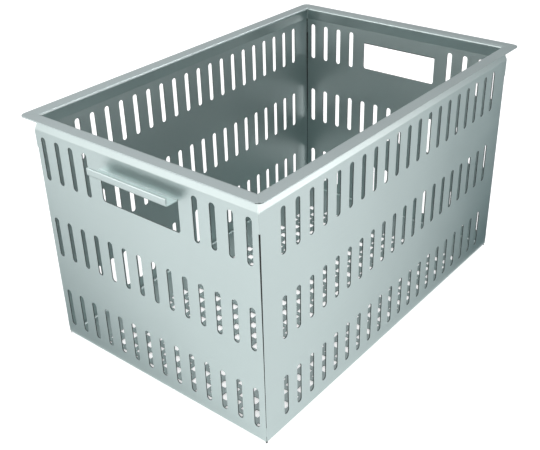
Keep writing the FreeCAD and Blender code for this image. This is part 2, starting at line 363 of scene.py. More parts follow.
# %% [markdown]
# A wall is one folded sheet
#
# Each real wall is cut flat, punched, and folded on a press: a rim flange, a leaning neck, the
# upright face and a foot lip under the floor. The construction model has the same folds, with
# coarse slot ends and sharp edges. Drawing a wall anew is worth it, because the light on a sheet
# basket lies in its bends and in the rims of its slots. The section is drawn the way a folder
# thinks: a chain of straight runs, one vertex drawn out from the last, then pulled out along the
# wall one column of slots at a time, so that every slot has a face of its own to be cut in.

# %% Sizes of a wall
SHEET = 0.0015
OPENING = Vector((0.560, 0.352, 0))
FLANGE = 0.020
HEIGHT = 0.342
NECK_FOOT = 0.322
FOOT_LIP = 0.014
WALL_FACE = 0.008
INNER_FACE = WALL_FACE - SHEET
SLOT_ROWS = [0.051, 0.16725, 0.2835]

# Places on the inner face of a wall, outwards from the edge of the opening, and their heights
SECTION = [
    (FLANGE, HEIGHT),
    (0.0, HEIGHT),
    (INNER_FACE, NECK_FOOT),
    (INNER_FACE, (SLOT_ROWS[1] + SLOT_ROWS[2]) / 2),
    (INNER_FACE, (SLOT_ROWS[0] + SLOT_ROWS[1]) / 2),
    (INNER_FACE, SHEET),
    (INNER_FACE - FOOT_LIP, SHEET),
]

# The folds: which place of the section, the radius on this face, and the facets of the bend
FOLDS = [(1, 0.0035, 8), (2, 0.0030, 3), (5, 0.0035, 6)]


def turn_at(index):
    """How far the section turns at one of its places."""
    before, here, after = [Vector(SECTION[index + step]) for step in (-1, 0, 1)]
    return (here - before).angle(after - here)


runs = [(Vector(after) - Vector(here)).length for here, after in zip(SECTION, SECTION[1:])]
print("folds turn by", [round(math.degrees(turn_at(fold[0]))) for fold in FOLDS], "degrees")
print("the section is", round(sum(runs), 4), "m long before its folds are rounded")

# %% Drawing out the sheet
# How far a sheet or a cutting tool is drawn past the place where it is cut
PAST = 0.006


def start_piece(name):
    """A piece that is a single vertex at the origin, in edit mode."""
    bpy.ops.object.select_all(action="DESELECT")
    bpy.ops.mesh.primitive_plane_add(size=0.01, location=(0, 0, 0))
    piece = bpy.context.object
    piece.name = name
    bpy.ops.object.mode_set(mode="EDIT")
    bpy.ops.mesh.select_mode(type="VERT")
    bpy.ops.mesh.select_all(action="SELECT")
    bpy.ops.mesh.merge(type="CENTER")
    return piece


def draw_out(step):
    """Extrude what is selected by a step."""
    bpy.ops.mesh.extrude_region_move(TRANSFORM_OT_translate={"value": tuple(step)})


def folded_sheet(name, opening, other_opening, span, columns):
    """The bare surface of a wall on the +X side: section drawn first, then pulled out along Y."""
    piece = start_piece(name)
    length = other_opening + 2 * (FLANGE + PAST)
    pitch = span / (columns - 1)
    start = Vector((opening / 2 + FLANGE, -length / 2, HEIGHT))
    bpy.ops.transform.translate(value=tuple(start))
    for here, after in zip(SECTION, SECTION[1:]):
        draw_out((after[0] - here[0], 0, after[1] - here[1]))
    bpy.ops.mesh.select_all(action="SELECT")
    lines = [-span / 2 - pitch / 2 + column * pitch for column in range(columns + 1)]
    reached = -length / 2
    for line in lines + [length / 2]:
        draw_out((0, line - reached, 0))
        reached = line
    return piece


# %% Selecting by a test
# How near to its place an edge or a face has to be, to be taken for it
NEAR = 0.00002


def select_where(piece, kind, wanted):
    """In edit mode, select only the vertices, edges or faces that pass a test."""
    bpy.ops.mesh.select_mode(type={"verts": "VERT", "edges": "EDGE", "faces": "FACE"}[kind])
    bpy.ops.mesh.select_all(action="DESELECT")
    mesh = bmesh.from_edit_mesh(piece.data)
    count = 0
    for element in getattr(mesh, kind):
        if wanted(element):
            element.select_set(True)
            count += 1
    mesh.select_flush_mode()
    bmesh.update_edit_mesh(piece.data)
    return count


# %% Folding the sheet
def fold_sheet(piece, opening):
    """Round the three folds of a wall to their radii."""
    for index, radius, facets in FOLDS:
        out, height = SECTION[index]

        def on_fold(edge):
            return all(
                abs(vert.co.x - opening / 2 - out) < NEAR and abs(vert.co.z - height) < NEAR
                for vert in edge.verts
            )

        select_where(piece, "edges", on_fold)
        bpy.ops.mesh.bevel(
            offset=radius * math.tan(turn_at(index) / 2),
            offset_type="OFFSET",
            segments=facets,
            profile=0.5,
            affect="EDGES",
            clamp_overlap=False,
        )
    bpy.ops.mesh.select_all(action="SELECT")
    bpy.ops.mesh.normals_make_consistent(inside=False)
    mesh = bmesh.from_edit_mesh(piece.data)
    mesh.faces.ensure_lookup_table()
    upright = max(mesh.faces, key=lambda face: face.calc_area())
    if upright.normal.x > 0:
        bpy.ops.mesh.flip_normals()
    bpy.ops.object.mode_set(mode="OBJECT")


# %% Gauge and eased edges
SHARP = math.radians(40)
SMOOTH = math.radians(30)


def thicken(piece, gauge):
    """Give an open sheet its thickness, on the side its faces look away from."""
    bpy.context.view_layer.objects.active = piece
    solidify = piece.modifiers.new("gauge", "SOLIDIFY")
    solidify.thickness = gauge
    solidify.offset = -1
    solidify.use_even_offset = True
    bpy.ops.object.modifier_apply(modifier="gauge")


def ease_edges(piece, width, spared=lambda middle: False):
    """A small bevel on every sharp edge, apart from those that are spared."""
    bpy.context.view_layer.objects.active = piece
    mesh = bmesh.new()
    mesh.from_mesh(piece.data)
    weight = mesh.edges.layers.float.new("bevel_weight_edge")
    for edge in mesh.edges:
        middle = (edge.verts[0].co + edge.verts[1].co) / 2
        if edge.is_manifold and edge.calc_face_angle() > SHARP and not spared(middle):
            edge[weight] = 1.0
    mesh.to_mesh(piece.data)
    mesh.free()
    bevel = piece.modifiers.new("eased_edges", "BEVEL")
    bevel.width = width
    bevel.segments = 1
    bevel.limit_method = "WEIGHT"
    bevel.use_clamp_overlap = False
    bpy.ops.object.modifier_apply(modifier="eased_edges")


sharp_and_smooth = [round(math.degrees(angle)) for angle in (SHARP, SMOOTH)]
print("edges are eased above and bends smoothed below:", sharp_and_smooth, "degrees")


# %% Cutting with a tool
def cut_with(piece, tool, operation="DIFFERENCE"):
    """Cut a piece with a tool, or keep only what lies in the tool, and put the tool away."""
    bpy.ops.object.select_all(action="DESELECT")
    bpy.context.view_layer.objects.active = piece
    piece.select_set(True)
    boolean = piece.modifiers.new("cut", "BOOLEAN")
    boolean.operation = operation
    boolean.solver = "EXACT"
    boolean.object = tool
    bpy.ops.object.modifier_apply(modifier="cut")
    bpy.data.objects.remove(tool, do_unlink=True)


# %% [markdown]
# Corners
#
# The sheets meet in mitres on the four upright corners. The mitre isn't tight: the gap is widest
# under the upper weld and closes towards the base, and it shows as a black line down the corner.
# A bisect with a slightly tilted plane makes the mitre, because it cuts a closed sheet and fills
# the cut in one stroke. A wedge standing on its edge then opens its mouth, up to the weld's foot.
# The rim gets its rounded corners from a plate with the rim's outline, and two blocks at each
# corner cut the room that the weld metal fills.

# %% Mitres
SEAM_BASE = 0.0005
SEAM_TOP = 0.0015


def mitre(piece, opening, other_opening):
    """Cut both ends of a wall on the slightly open diagonal of the corner."""
    slope = (SEAM_TOP - SEAM_BASE) / 2 / NECK_FOOT
    bpy.context.view_layer.objects.active = piece
    bpy.ops.object.mode_set(mode="EDIT")
    for side in (-1, 1):
        bpy.ops.mesh.select_all(action="SELECT")
        across = Vector((-1, side, 0)).normalized()
        corner = Vector((opening / 2, side * other_opening / 2, 0))
        bpy.ops.mesh.bisect(
            plane_co=tuple(corner - across * (SEAM_BASE / 2)),
            plane_no=(across.x, across.y, slope),
            use_fill=True,
            clear_outer=True,
        )
    bpy.ops.object.mode_set(mode="OBJECT")


print("the mitre opens by", round(1000 * (SEAM_TOP - SEAM_BASE), 2), "mm on its way up")


# %% Blocks for cutting
def block(name, middle, size, turn=0.0):
    """A plain block, as a cutting tool."""
    bpy.ops.object.select_all(action="DESELECT")
    bpy.ops.mesh.primitive_cube_add(size=1, location=middle, rotation=(0, 0, turn))
    tool = bpy.context.object
    tool.name = name
    tool.scale = size
    bpy.ops.object.transform_apply(location=True, rotation=True, scale=True)
    return tool


def bevel_edges_along(tool, axis, radius, segments, wanted=lambda middle: True):
    """Round those edges of a block that run along one axis."""
    bpy.ops.object.mode_set(mode="EDIT")

    def runs_along(edge):
        run = edge.verts[1].co - edge.verts[0].co
        middle = (edge.verts[0].co + edge.verts[1].co) / 2
        return abs(run.normalized()[axis]) > 0.99 and wanted(middle)

    select_where(tool, "edges", runs_along)
    bpy.ops.mesh.bevel(offset=radius, offset_type="OFFSET", segments=segments, profile=0.5)
    bpy.ops.object.mode_set(mode="OBJECT")


# %% The outline of the rim
RIM_CORNER = 0.010
RIM_FACETS = 10


def rim_outline(piece, length, width):
    """Trim the flange of a wall to the rim's outline."""
    plate = block("rim_plate", (0, 0, HEIGHT / 2), (length, width, HEIGHT + 2 * PAST))
    bevel_edges_along(plate, 2, RIM_CORNER, RIM_FACETS)
    cut_with(piece, plate, "INTERSECT")


print("the rim's corners turn on", RIM_CORNER, "m in", RIM_FACETS, "facets")

# %% The mouth of the seam
SEAM_MOUTH = 0.0021
# The share of the mouth's width that is left at the foot of the wedge
SEAM_CLOSED = 0.05
WEDGE_DEPTH = 0.03
ACROSS_CORNER = math.radians(45)
WELD_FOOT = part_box("upper_corner_weld_front_left")[0].z
print("the open seam ends at the weld, at", round(WELD_FOOT, 4))


def open_seam(piece, opening, other_opening):
    """Widen the seam up to the foot of the upper weld, with a wedge standing on its edge."""
    for side in (-1, 1):
        size = (WEDGE_DEPTH, SEAM_MOUTH, WELD_FOOT)
        wedge = block("seam_wedge", (0, 0, WELD_FOOT / 2), size)
        bpy.ops.object.mode_set(mode="EDIT")
        select_where(wedge, "verts", lambda vert: vert.co.z < WELD_FOOT / 2)
        bpy.ops.transform.resize(value=(1, SEAM_CLOSED, 1))
        bpy.ops.object.mode_set(mode="OBJECT")
        wedge.rotation_euler = (0, 0, side * ACROSS_CORNER)
        wedge.location = (opening / 2 + WALL_FACE, side * (other_opening / 2 + WALL_FACE), 0)
        bpy.ops.object.transform_apply(location=True, rotation=True, scale=True)
        cut_with(piece, wedge)


# %% Room for the welds
# The width of each gap, its foot and top, and where it starts and ends, outwards from the opening
WELD_GAPS = [
    (0.00226, NECK_FOOT, HEIGHT - SHEET, -PAST, 2 * WALL_FACE),
    (0.002, HEIGHT - SHEET, HEIGHT + PAST, -PAST, FLANGE + PAST),
]


def weld_room(piece, opening, other_opening):
    """Open the mitre wider in the neck and in the flange, where the weld metal goes."""
    for side in (-1, 1):
        for width, low, high, start, end in WELD_GAPS:
            out = (start + end) / 2
            middle = (opening / 2 + out, side * (other_opening / 2 + out), (low + high) / 2)
            size = ((end - start) * math.sqrt(2), width, high - low)
            cut_with(piece, block("weld_gap", middle, size, side * ACROSS_CORNER))


print("room for welds:", [round(1000 * gap[0], 2) for gap in WELD_GAPS], "mm wide")


# %% [markdown]
# Slots
#
# The slots are punched upright, 8 by 60 mm with round ends. One punch is a cylinder lying on its
# side, with its upper half pulled up and its lower half down, and two Array modifiers repeat it
# over the columns and rows. A single Boolean then punches them all, which is quicker than one
# Boolean a slot. The rims of the slots get a rougher finish of their own, darkened as painted
# shade.

# %% One slot punch
SLOT_WIDTH = 0.008
SLOT_LENGTH = 0.060
PUNCH_SIDES = 24
PUNCH_DEPTH = 0.012


def slot_punch():
    """One punch at the origin, lying along X and pulled out to the slot's length."""
    half_step = math.pi / PUNCH_SIDES
    bpy.ops.object.select_all(action="DESELECT")
    bpy.ops.mesh.primitive_cylinder_add(
        vertices=PUNCH_SIDES, radius=SLOT_WIDTH / 2 / math.cos(half_step), depth=PUNCH_DEPTH,
    )
    punch = bpy.context.object
    punch.name = "slot_punch"
    punch.rotation_euler = (0, math.radians(90), 0)
    bpy.ops.object.transform_apply(location=True, rotation=True, scale=True)
    punch.rotation_euler = (half_step, 0, 0)
    bpy.ops.object.transform_apply(location=True, rotation=True, scale=True)
    bpy.ops.object.mode_set(mode="EDIT")
    reach = (SLOT_LENGTH - SLOT_WIDTH) / 2
    for sign in (-1, 1):
        select_where(punch, "verts", lambda vert: vert.co.z * sign > 0)
        bpy.ops.transform.translate(value=(0, 0, sign * reach))
    bpy.ops.object.mode_set(mode="OBJECT")
    return punch


# %% Rows and columns of slots
def slot_punches(opening, first_across, columns, pitch, rows):
    """Slots as one tool: columns at a pitch from a first place, in the given rows."""
    punch = slot_punch()
    punch.location = (opening / 2 + WALL_FACE - SHEET / 2, first_across, rows[0])
    bpy.ops.object.transform_apply(location=True, rotation=True, scale=True)
    repeats = [(columns, (0, pitch, 0))]
    if len(rows) > 1:
        repeats.append((len(rows), (0, 0, rows[1] - rows[0])))
    for count, step in repeats:
        array = punch.modifiers.new("repeat", "ARRAY")
        array.use_relative_offset = False
        array.use_constant_offset = True
        array.constant_offset_displace = step
        array.count = count
        bpy.ops.object.modifier_apply(modifier="repeat")
    print("punches:", columns * len(rows), "slots of", SLOT_LENGTH, "m")
    return punch


# %% Marking the cut edges
# Places in a wall's list of finishes, after the sheet's own at 0
SEAM_INDEX = 1
CUT_INDEX = 2
WORN_INDEX = 3
SLOT_REACH = SLOT_LENGTH / 2 + 0.002


def mark_punched_edges(piece, opening):
    """Give the rims of the slots and the flange's corner arcs the cut-edge finish, darkened as
    painted shade.
    """
    inner = opening / 2 + INNER_FACE - NEAR
    outer = opening / 2 + WALL_FACE + NEAR
    lowest = SLOT_ROWS[0] - SLOT_REACH
    highest = SLOT_ROWS[-1] + SLOT_REACH
    arc_from = opening / 2 + FLANGE - RIM_CORNER + NEAR
    marked = 0
    for face in piece.data.polygons:
        place = face.center
        among_slots = inner < place.x < outer and lowest < place.z < highest
        slot_rim = among_slots and abs(face.normal.x) < 0.95
        # The flange's rounded corner is darkened as a painted shade
        upright = place.z > HEIGHT - SHEET and abs(face.normal.z) < 0.3
        corner_arc = upright and place.x > arc_from and 0.25 < abs(face.normal.y) < 0.97
        if slot_rim or corner_arc:
            face.material_index = CUT_INDEX
            marked += 1
    print(piece.name, "cut edges:", marked)


# %% Finishing a sheet
EASED = 0.0003
MITRE_EDGE = 0.0027


def finish_sheet(piece, opening, other_opening):
    """Ease the punched and sheared edges but not the mitres, then smooth the bends."""
    bpy.ops.object.select_all(action="DESELECT")
    bpy.context.view_layer.objects.active = piece
    piece.select_set(True)

    def at_mitre(middle):
        from_diagonal = middle.x - opening / 2 - abs(middle.y) + other_opening / 2
        return abs(from_diagonal) < MITRE_EDGE

    ease_edges(piece, EASED, at_mitre)
    bpy.ops.object.shade_smooth_by_angle(angle=SMOOTH)
    weighted = piece.modifiers.new("flat_flats", "WEIGHTED_NORMAL")
    weighted.mode = "FACE_AREA"
    weighted.weight = 100
    weighted.keep_sharp = True
    bpy.ops.object.modifier_apply(modifier="flat_flats")
    print(piece.name, "faces:", len(piece.data.polygons))


# %% A wall before its slots
def plain_wall(name, opening, other_opening, span, columns):
    """A folded wall on the +X side, mitred and trimmed, before any slot is punched."""
    piece = folded_sheet(name, opening, other_opening, span, columns)
    fold_sheet(piece, opening)
    thicken(piece, SHEET)
    mitre(piece, opening, other_opening)
    open_seam(piece, opening, other_opening)
    rim_outline(piece, opening + 2 * FLANGE, other_opening + 2 * FLANGE)
    weld_room(piece, opening, other_opening)
    return piece


# %% The long wall
LONG_COLUMNS = 20
LONG_SPAN = 0.496

long_wall = plain_wall("long_wall_sheet", OPENING.y, OPENING.x, LONG_SPAN, LONG_COLUMNS)
pitch = LONG_SPAN / (LONG_COLUMNS - 1)
cut_with(long_wall, slot_punches(OPENING.y, -LONG_SPAN / 2, LONG_COLUMNS, pitch, SLOT_ROWS))
finish_sheet(long_wall, OPENING.y, OPENING.x)
mark_punched_edges(long_wall, OPENING.y)

# %% [markdown]
# The end wall and its grip
#
# A grip isn't a part of its own. It is the tongue of metal left hanging from the top edge of the
# hand hole, folded outwards, turned up, and hemmed back on itself so that the hand meets a round
# edge. So it is made here as the folder makes it: the narrow top face of the hole is spun through
# a bend, drawn out for the shelf, spun up for the lip, and spun right over for the hem.

# %% The end wall, punched
END_COLUMNS = 14
END_SPAN = 0.3394
SLOTS_BESIDE = 4

end_wall = plain_wall("end_wall_sheet", OPENING.x, OPENING.y, END_SPAN, END_COLUMNS)
pitch = END_SPAN / (END_COLUMNS - 1)
cut_with(end_wall, slot_punches(OPENING.x, -END_SPAN / 2, END_COLUMNS, pitch, SLOT_ROWS[:2]))
cut_with(end_wall, slot_punches(OPENING.x, -END_SPAN / 2, SLOTS_BESIDE, pitch, SLOT_ROWS[2:]))
right_start = END_SPAN / 2 - (SLOTS_BESIDE - 1) * pitch
cut_with(end_wall, slot_punches(OPENING.x, right_start, SLOTS_BESIDE, pitch, SLOT_ROWS[2:]))

# %% The hand hole
HAND_HOLE_HALF = 0.0655
HAND_HOLE_LOW = 0.2566
HAND_HOLE_CORNER = 0.004
GRIP_ROOT = 0.3016

hole_middle = (OPENING.x / 2 + WALL_FACE, 0, (HAND_HOLE_LOW + GRIP_ROOT) / 2)
hole_size = (PUNCH_DEPTH, 2 * HAND_HOLE_HALF, GRIP_ROOT - HAND_HOLE_LOW)
hole_tool = block("hand_hole", hole_middle, hole_size)
bevel_edges_along(hole_tool, 0, HAND_HOLE_CORNER, 6, lambda middle: middle.z < hole_middle[2])
cut_with(end_wall, hole_tool)
print("hand hole:", [round(side, 4) for side in hole_size[1:]])

# %% The root of the grip
def fold_over(centre_x, centre_z, degrees, facets):
    """Spin the selected face about a line along Y."""
    bpy.ops.mesh.spin(
        steps=facets,
        dupli=False,
        angle=math.radians(degrees),
        center=(centre_x, 0, centre_z),
        axis=(0, 1, 0),
    )


bpy.ops.object.select_all(action="DESELECT")
bpy.context.view_layer.objects.active = end_wall
end_wall.select_set(True)
bpy.ops.object.mode_set(mode="EDIT")
found = select_where(
    end_wall,
    "faces",
    lambda face: abs(face.calc_center_median().z - GRIP_ROOT) < NEAR
    and abs(face.calc_center_median().y) < HAND_HOLE_HALF
    and face.normal.z < -0.9,
)
print("faces at the root of the grip:", found)

# %% The grip, folded
GRIP_BEND = 0.0015
GRIP_REACH = 0.019
LIP_TOP = 0.3096
HEM_RADIUS = 0.00015

GRIP_FACE = OPENING.x / 2 + WALL_FACE + GRIP_REACH
bend_start = OPENING.x / 2 + WALL_FACE + GRIP_BEND
lip_bend = GRIP_FACE - SHEET - GRIP_BEND
hem_height = LIP_TOP - SHEET - HEM_RADIUS
fold_over(bend_start, GRIP_ROOT, 90, facets=6)
draw_out((lip_bend - bend_start, 0, 0))
fold_over(lip_bend, GRIP_ROOT, 90, facets=6)
draw_out((0, 0, hem_height - GRIP_ROOT))
fold_over(GRIP_FACE - SHEET - HEM_RADIUS, hem_height, 180, facets=10)
draw_out((0, 0, GRIP_ROOT - hem_height))
bpy.ops.mesh.select_all(action="SELECT")
bpy.ops.mesh.remove_doubles(threshold=0.000005)
bpy.ops.object.mode_set(mode="OBJECT")
print("grip: out to", round(GRIP_FACE, 4), "and up to", LIP_TOP)

# %% Finishing the end wall
# The grip's shelf and lip: smoother from wear, and lighter as painted light in the recess
WORN_FROM = OPENING.x / 2 + WALL_FACE + 0.001

finish_sheet(end_wall, OPENING.x, OPENING.y)
mark_punched_edges(end_wall, OPENING.x)
worn = 0
for face in end_wall.data.polygons:
    if face.center.x > WORN_FROM and face.center.z < LIP_TOP and face.normal.x < 0.5:
        face.material_index = WORN_INDEX
        worn += 1
print("worn faces of the grip:", worn)

# %% [markdown]
# Four walls from two
#
# The basket is the same from both ends and from both sides, so each wall is copied once and both
# are turned into place, each copy with its own mesh.

# %% The finishes of a wall
SEAM_REACH = 0.002
SLANTING = 0.1


def give_finishes(wall, material):
    """Give a wall its sheet finish, the painted shade of seam and cut edges, and the grip's wear
    and painted light.
    """
    kinds = [face.material_index for face in wall.data.polygons]
    wall.data.materials.clear()
    for part_material in (material, seam_dark, punched_edge, worn_satin):
        wall.data.materials.append(part_material)
    in_seam = 0
    for face, kind in zip(wall.data.polygons, kinds):
        from_corner = abs(face.center.x) - OPENING.x / 2 - abs(face.center.y) + OPENING.y / 2
        slants = abs(abs(face.normal.x) - abs(face.normal.y)) < SLANTING
        open_part = face.center.z < WELD_FOOT
        face.material_index = kind
        if abs(from_corner) < SEAM_REACH and slants and open_part:
            face.material_index = SEAM_INDEX
            in_seam += 1
    print(wall.name, "faces in its seams:", in_seam)


# %% Setting the walls in place
def set_in_place(source, name, degrees, node, material):
    """A copy of a wall, turned about the upright axis, that stands for a node of the frame."""
    wall = source.copy()
    wall.data = source.data.copy()
    wall.name = name
    bpy.context.scene.collection.objects.link(wall)
    bpy.ops.object.select_all(action="DESELECT")
    bpy.context.view_layer.objects.active = wall
    wall.select_set(True)
    wall.rotation_euler = (0, 0, math.radians(degrees))
    bpy.ops.object.transform_apply(location=True, rotation=True, scale=True)
    give_finishes(wall, material)
    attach(wall, "root")
    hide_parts(node)
    low = Vector([min(vert.co[axis] for vert in wall.data.vertices) for axis in range(3)])
    high = Vector([max(vert.co[axis] for vert in wall.data.vertices) for axis in range(3)])
    cad_from, cad_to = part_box(node)
    print(name, "differs from its node by", [round(1000 * v, 2) for v in (low - cad_from)],
          [round(1000 * v, 2) for v in (high - cad_to)], "mm")


set_in_place(long_wall, "front_wall_sheet", -90, "front_wall", side_satin)
set_in_place(long_wall, "back_wall_sheet", 90, "back_wall", side_satin)
set_in_place(end_wall, "right_end_wall_sheet", 0, "right_end_wall", end_satin)
set_in_place(end_wall, "left_end_wall_sheet", 180, "left_end_wall", end_satin)
bpy.data.objects.remove(long_wall, do_unlink=True)
bpy.data.objects.remove(end_wall, do_unlink=True)

# %% [markdown]
# The root of each seam
#
# The two sheets of a corner touch along their inner edges, so no light comes through the seam. A
# narrow strip stands for that contact and closes the groove from behind. It is painted dark, as
# the seam's shade.

# %% Seam roots
ROOT_WIDTH = 0.0024
ROOT_DEPTH = 0.0006
ROOT_EASED = 0.0002
BELOW_NECK = 0.001


def seam_root(name, side_x, side_y):
    """The closed inner edge of one corner seam."""
    out = INNER_FACE + ROOT_DEPTH / 2
    place = (side_x * (OPENING.x / 2 + out), side_y * (OPENING.y / 2 + out), NECK_FOOT / 2)
    size = (ROOT_DEPTH, ROOT_WIDTH, NECK_FOOT - BELOW_NECK)
    ridge = block(name, place, size, ACROSS_CORNER * side_x * side_y)
    bevel_edges_along(ridge, 2, ROOT_EASED, 2)
    # The strip carries the seam's painted shade
    ridge.data.materials.append(seam_dark)
    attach(ridge, "root")
    print(name, "is", round(1000 * ROOT_WIDTH, 2), "mm wide")


seam_root("seam_root_front_left", -1, -1)
seam_root("seam_root_front_right", 1, -1)
seam_root("seam_root_back_left", -1, 1)
seam_root("seam_root_back_right", 1, 1)

# %% [markdown]
# The perforated floor
#
# The real floor is a sheet punched with small square holes in straight rows. The field reaches the
# left and front walls, and leaves a wide plain border at the right and the back. Drawing some five
# hundred holes one by one would be tedious and cutting them slow. A grid with one face for each
# hole does it in two strokes: each face is inset by half a bridge, and the faces left inside are
# deleted. The border is then drawn out from the edges, Solidify gives the sheet its gauge, and a
# very small bevel stands for the drag of the punch.

# %% The floor as a grid
HOLE_SIDE = 0.011
HOLE_PITCH = 0.0175
HOLE_COLUMNS = 29
HOLE_ROWS = 17
LAST_HOLE_RIGHT = 0.222
LAST_HOLE_BACK = 0.126

floor_low, floor_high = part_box("floor_panel")
half_bridge = (HOLE_PITCH - HOLE_SIDE) / 2
half_field = (HOLE_COLUMNS * HOLE_PITCH / 2, HOLE_ROWS * HOLE_PITCH / 2)
field_middle = Vector((
    LAST_HOLE_RIGHT + half_bridge - half_field[0],
    LAST_HOLE_BACK + half_bridge - half_field[1],
    floor_high.z,
))

bpy.ops.object.select_all(action="DESELECT")
bpy.ops.mesh.primitive_grid_add(
    x_subdivisions=HOLE_COLUMNS,
    y_subdivisions=HOLE_ROWS,
    size=1,
    location=field_middle,
)
floor_sheet = bpy.context.object
floor_sheet.name = "perforated_floor_sheet"
floor_sheet.scale = (HOLE_COLUMNS * HOLE_PITCH, HOLE_ROWS * HOLE_PITCH, 1)
bpy.ops.object.transform_apply(location=True, rotation=True, scale=True)
print("holes:", len(floor_sheet.data.polygons), "around", [round(at, 4) for at in field_middle])

# %% Punching the holes
bpy.ops.object.mode_set(mode="EDIT")
bpy.ops.mesh.select_all(action="SELECT")
bpy.ops.mesh.inset(thickness=half_bridge, use_individual=True)
bpy.ops.mesh.delete(type="FACE")
bpy.ops.object.mode_set(mode="OBJECT")
print("bridges:", len(floor_sheet.data.polygons), "faces,", round(2 * half_bridge, 4), "m wide")

# %% Drawing out the border
# How near to the field's outline the middle of an edge has to be, to belong to it
CLOSE = 0.0005


def select_edges(piece, wanted):
    """In edit mode, select only the open edges whose middle passes the test."""
    bpy.ops.mesh.select_all(action="DESELECT")
    bpy.ops.mesh.select_mode(type="EDGE")
    mesh = bmesh.from_edit_mesh(piece.data)
    count = 0
    for edge in mesh.edges:
        middle = (edge.verts[0].co + edge.verts[1].co) / 2
        if edge.is_boundary and wanted(middle):
            edge.select_set(True)
            count += 1
    bmesh.update_edit_mesh(piece.data)
    return count


bpy.ops.object.mode_set(mode="EDIT")
for axis in (0, 1):
    for sign, target in ((-1, floor_low[axis]), (1, floor_high[axis])):
        edge_at = field_middle[axis] + sign * half_field[axis]
        found = select_edges(floor_sheet, lambda middle: abs(middle[axis] - edge_at) < CLOSE)
        step = Vector((0, 0, 0))
        step[axis] = target - edge_at
        draw_out(step)
        print("XY"[axis], "border drawn out by", round(step[axis], 4), "m from", found, "edges")
bpy.ops.object.mode_set(mode="OBJECT")

# %% Gauge and punch drag
PUNCH_DRAG = 0.0002

thicken(floor_sheet, floor_high.z - floor_low.z)
ease_edges(floor_sheet, PUNCH_DRAG)
bpy.ops.object.shade_smooth_by_angle(angle=SMOOTH)
floor_sheet.data.materials.append(floor_satin)
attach(floor_sheet, "root")
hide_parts("floor_panel")
print("floor faces:", len(floor_sheet.data.polygons))

# %% [markdown]
# The studio
#
# The basket stands on a plain white ground. A satin metal shows its surroundings more than its
# own colour, so the ground and the sky are the real light here. The sky is white near the horizon,
# which the leaning neck picks up as a pale line, and dimmer overhead, which keeps the rim and the
# inside grey. On the right it has a dark band low down and a bright, slightly warm one above,
# which the insides of the far walls mirror. Four soft lamps fill in the near sides and the grip,
# and a long thin one is mirrored by the bend of the back rim, as a fine bright line.

# %% The ground
GROUND_SIZE = 14.0
GROUND_GREY = 0.6
GROUND_GLOW = 0.65

bpy.ops.object.select_all(action="DESELECT")
bpy.ops.mesh.primitive_plane_add(size=GROUND_SIZE, location=(0, 0, 0))
ground = bpy.context.object
ground.name = "studio_ground"
ground_white, tree, shader = new_material("ground_white")
shader.inputs["Base Color"].default_value = (GROUND_GREY, GROUND_GREY, GROUND_GREY, 1)
shader.inputs["Roughness"].default_value = 0.9
seen = Socket.add(tree, "ShaderNodeLightPath", output="Is Camera Ray")
mirrored = Socket.add(tree, "ShaderNodeLightPath", output="Is Glossy Ray")
through = Socket.add(tree, "ShaderNodeLightPath", output="Is Transmission Ray")
glow = seen.at_least(mirrored).at_least(through) * GROUND_GLOW
tree.links.new(glow.grey().output, shader.inputs["Emission Color"])
shader.inputs["Emission Strength"].default_value = 1.0
ground.data.materials.append(ground_white)
print("ground:", GROUND_SIZE, "m square, with a glow of", GROUND_GLOW, "where it is looked at")

# %% Two sides of a sky
# The height of a direction, from 0 at the horizon to 1 overhead, and the colour there
LEFT_SKY = [
    (0.0, (1.0, 1.0, 1.0)),
    (0.50, (1.0, 1.0, 1.0)),
    (0.75, (0.60, 0.60, 0.61)),
    (1.0, (0.35, 0.35, 0.36)),
]
RIGHT_SKY = [
    (0.0, (1.0, 1.0, 1.0)),
    (0.06, (0.90, 0.90, 0.90)),
    (0.18, (0.37, 0.40, 0.42)),
    (0.28, (0.31, 0.32, 0.34)),
    (0.40, (0.72, 0.71, 0.73)),
    (0.52, (1.32, 1.26, 1.28)),
    (0.68, (0.95, 0.93, 0.95)),
    (1.0, (0.35, 0.35, 0.36)),
]

world = bpy.data.worlds.new("studio_sky")
bpy.context.scene.world = world
world.use_nodes = True
tree = world.node_tree
direction = Socket.add(tree, "ShaderNodeTexCoord", output="Generated")
height = direction.axis("Z")
rightwards = direction.axis("X")
left_sky = Socket.add(tree, "ShaderNodeValToRGB", {"stops": LEFT_SKY}, {0: height})
right_sky = Socket.add(tree, "ShaderNodeValToRGB", {"stops": RIGHT_SKY}, {0: height})
print("sky:", len(LEFT_SKY), "stops on the left and", len(RIGHT_SKY), "on the right")

# %% Joining the two sides
turned_right = ((rightwards - 0.1) * 2.5).at_least(0.0).at_most(1.0)
lamps_left = (2.0 - rightwards * 1.6).at_least(0.3).at_most(1.1)
dimmed = (1.0 - height * 8.0).at_least(0.0)
side_light = dimmed + (1.0 - dimmed) * lamps_left
right_sky = mixed_colours(tree, right_sky, side_light.grey())
sky_colour = mixed_colours(tree, left_sky, right_sky, turned_right, "MIX")
background = tree.nodes["Background"]
tree.links.new(sky_colour.output, background.inputs["Color"])
background.inputs["Strength"].default_value = 1.0
print("the sky is made with", len(tree.nodes), "nodes")

# %% A soft lamp
def soft_lamp(name, place, aim, size, power, colour=(1.0, 1.0, 1.0), width=None):
    """An area lamp, aimed at a point. It is square, unless a width makes it a strip."""
    turn = (aim - place).to_track_quat("-Z", "Y").to_euler()
    bpy.ops.object.light_add(type="AREA", location=place, rotation=turn)
    lamp = bpy.context.object
    lamp.name = name
    lamp.data.size = size
    if width:
        lamp.data.shape = "RECTANGLE"
        lamp.data.size_y = width
    lamp.data.energy = power
    lamp.data.color = colour
    lamp.visible_camera = False


# %% The lamps
WARM = (1.0, 0.91, 0.90)
NEAR_CORNER = Vector((-0.288, -0.184, 0.33))
GRIP_MIDDLE = Vector((-0.30, 0.0, 0.305))
